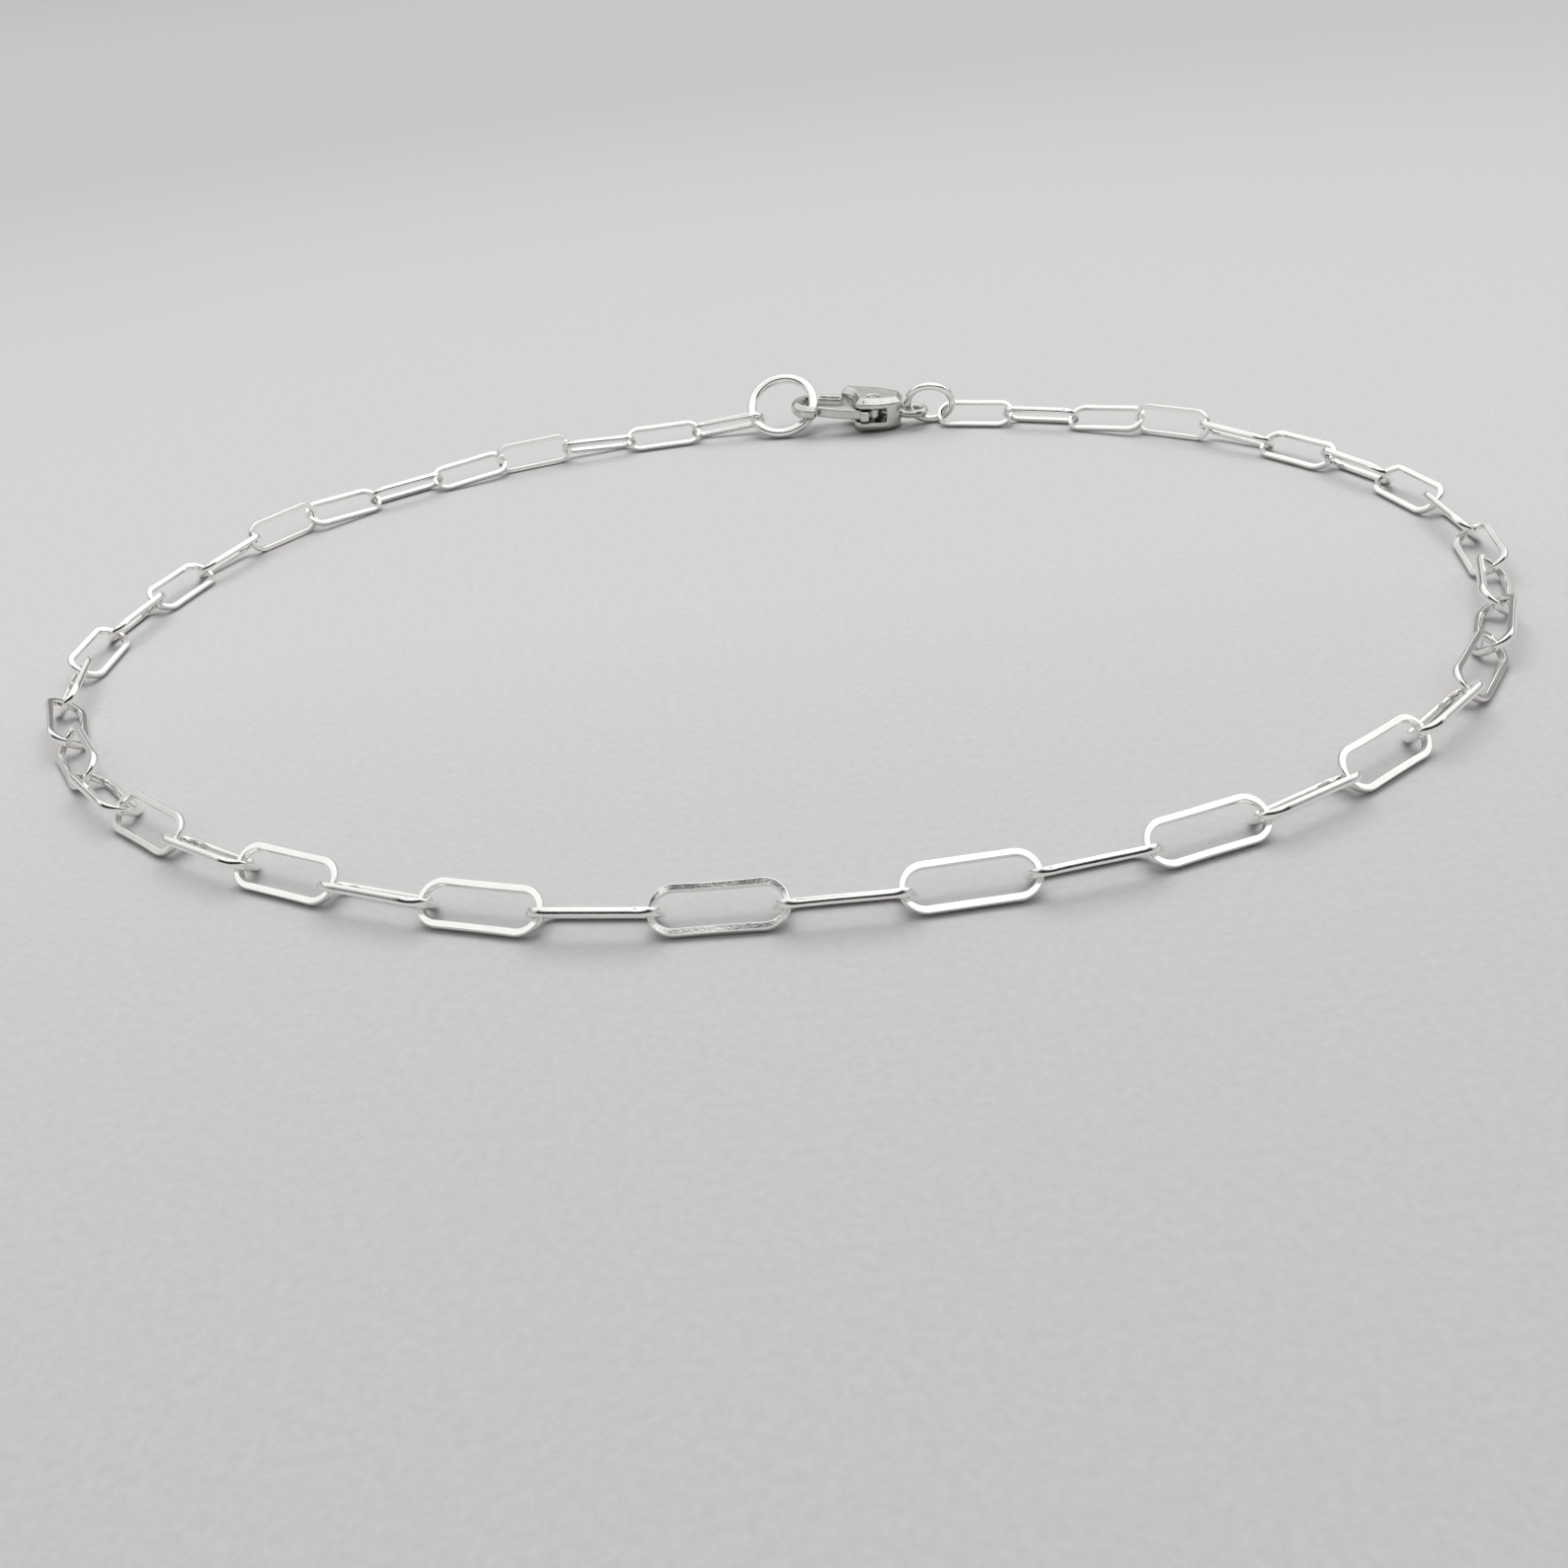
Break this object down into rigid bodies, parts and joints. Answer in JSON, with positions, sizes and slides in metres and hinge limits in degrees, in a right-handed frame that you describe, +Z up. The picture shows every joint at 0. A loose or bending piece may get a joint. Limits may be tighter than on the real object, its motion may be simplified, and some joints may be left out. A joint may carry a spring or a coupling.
{
  "type": "chain anklet",
  "caption": "Fine chain of flat wire paperclip links closed to a loop by a lobster clasp hooked in an end ring, worn round the ankle and lying on a level surface.",
  "frame": {"origin": "middle of the outer box's bottom, on the surface that the anklet lies on", "axes": "+X along the loop's long way, +Y towards the side with the clasp, +Z up from the surface"},
  "size_m": [0.0868, 0.0738, 0.0042],
  "materials": {
    "chain_silver": "bright polished, with fine handling marks",
    "clasp_silver": "polished casting, softer than the chain"
  },
  "bodies": {
    "anklet": {"link_01": "chain_silver", "link_02": "chain_silver", "link_03": "chain_silver", "link_04": "chain_silver", "link_05": "chain_silver", "link_06": "chain_silver", "link_07": "chain_silver", "link_08": "chain_silver", "link_09": "chain_silver", "link_10": "chain_silver", "link_11": "chain_silver", "link_12": "chain_silver", "link_13": "chain_silver", "link_14": "chain_silver", "link_15": "chain_silver", "link_16": "chain_silver", "link_17": "chain_silver", "link_18": "chain_silver", "link_19": "chain_silver", "link_20": "chain_silver", "link_21": "chain_silver", "link_22": "chain_silver", "link_23": "chain_silver", "link_24": "chain_silver", "link_25": "chain_silver", "link_26": "chain_silver", "link_27": "chain_silver", "link_28": "chain_silver", "link_29": "chain_silver", "link_30": "chain_silver", "link_31": "chain_silver", "link_32": "chain_silver", "link_33": "chain_silver", "link_34": "chain_silver", "link_35": "chain_silver", "link_36": "chain_silver", "link_37": "chain_silver", "link_38": "chain_silver", "link_39": "chain_silver", "link_40": "chain_silver", "link_41": "chain_silver", "link_42": "chain_silver", "link_43": "chain_silver", "end_ring": "chain_silver", "clasp_jump_ring": "chain_silver", "clasp_body": "clasp_silver", "clasp_rivet": "clasp_silver"},
    "lever": {"clasp_lever": "clasp_silver"}
  },
  "joints": [
    {"name": "lever_hinge", "type": "hinge", "parent": "anklet", "child": "lever", "pos_m": [0.0106, 0.03209, 0.00146], "axis": [-0.0869, 0.0189, -0.996], "range_deg": [0, 24], "stiffness_Nm_per_rad": 0.001}
  ]
}
